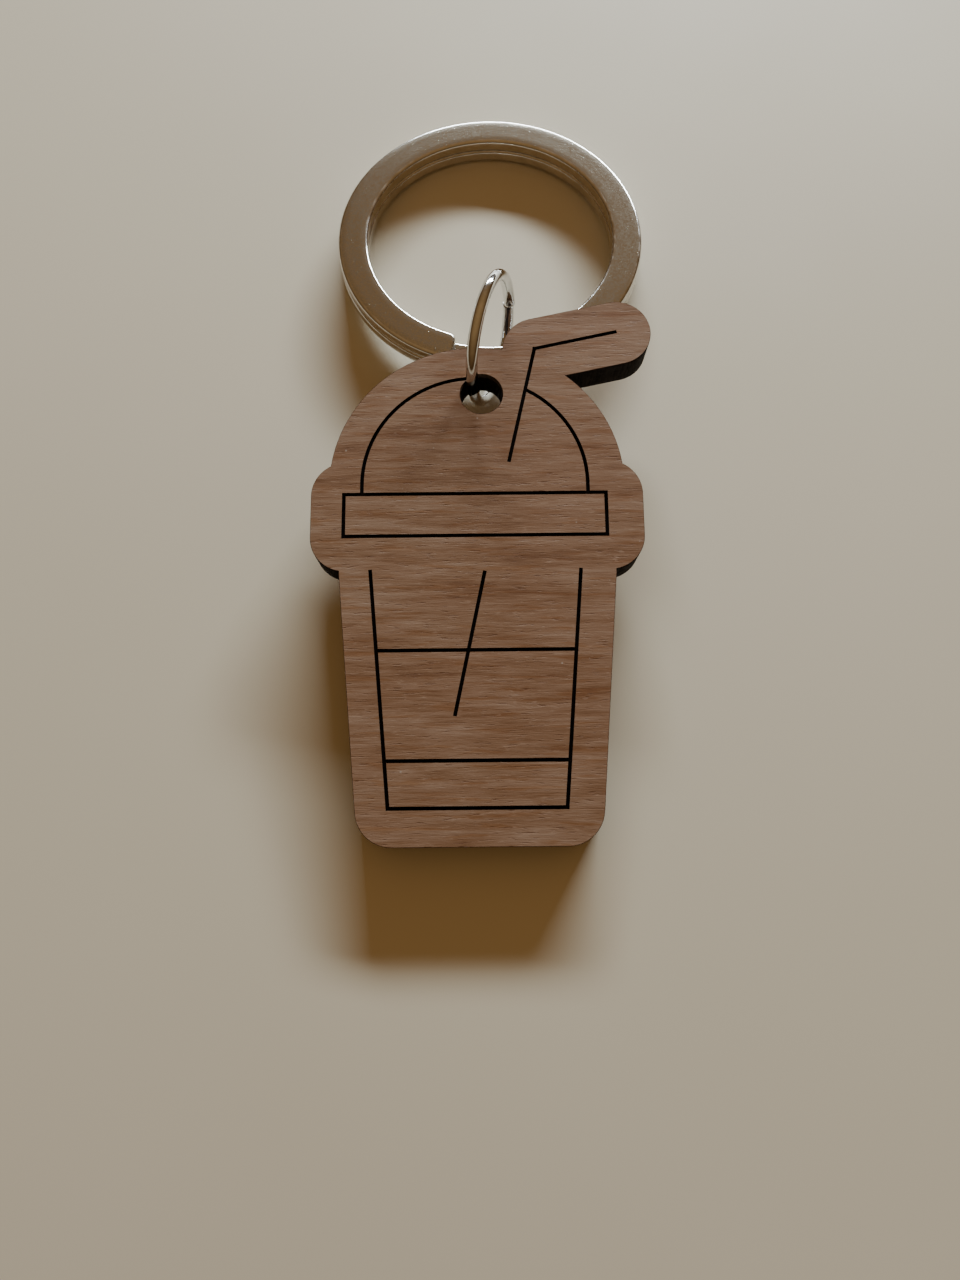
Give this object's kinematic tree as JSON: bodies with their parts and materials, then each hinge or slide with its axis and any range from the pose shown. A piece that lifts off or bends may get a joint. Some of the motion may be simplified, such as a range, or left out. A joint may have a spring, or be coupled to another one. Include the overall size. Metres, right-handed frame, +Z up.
{
  "type": "keychain",
  "caption": "Flat wooden charm shaped like a takeaway cup with a dome lid and a bent straw, on a wire jump ring and a split key ring.",
  "frame": {"origin": "middle of the bounding box's underside, on the surface that the keychain lies on", "axes": "+Y from the cup's foot to the key ring, +X to the straw's side, +Z up from the surface, out of the engraved face"},
  "size_m": [0.0292, 0.0694, 0.0113],
  "materials": {
    "cherry_veneer": "unvarnished cherry face with fine cross grain, laser-charred edges and lines",
    "core_wood": "laser-charred core ply",
    "bright_wire": "polished plated wire",
    "nickel_steel": "nickel-plated steel, satin flats and polished rounded edges"
  },
  "bodies": {
    "split_ring": {"split_ring": "nickel_steel"},
    "jump_ring": {"jump_ring": "bright_wire"},
    "charm": {"front_veneer": "cherry_veneer", "core_ply": "core_wood", "back_veneer": "cherry_veneer"}
  },
  "joints": [
    {"name": "jump_ring_travel", "type": "hinge", "parent": "split_ring", "child": "jump_ring", "pos_m": [0.00059, 0.02057, 0.00072], "axis": [0, 0.0523, 0.9986], "continuous": true},
    {"name": "charm_swing", "type": "hinge", "parent": "jump_ring", "child": "charm", "pos_m": [-0.00052, 0.00235, 0.00341], "axis": [0, -0.0924, 0.9957], "range_deg": [-75, 20]}
  ]
}
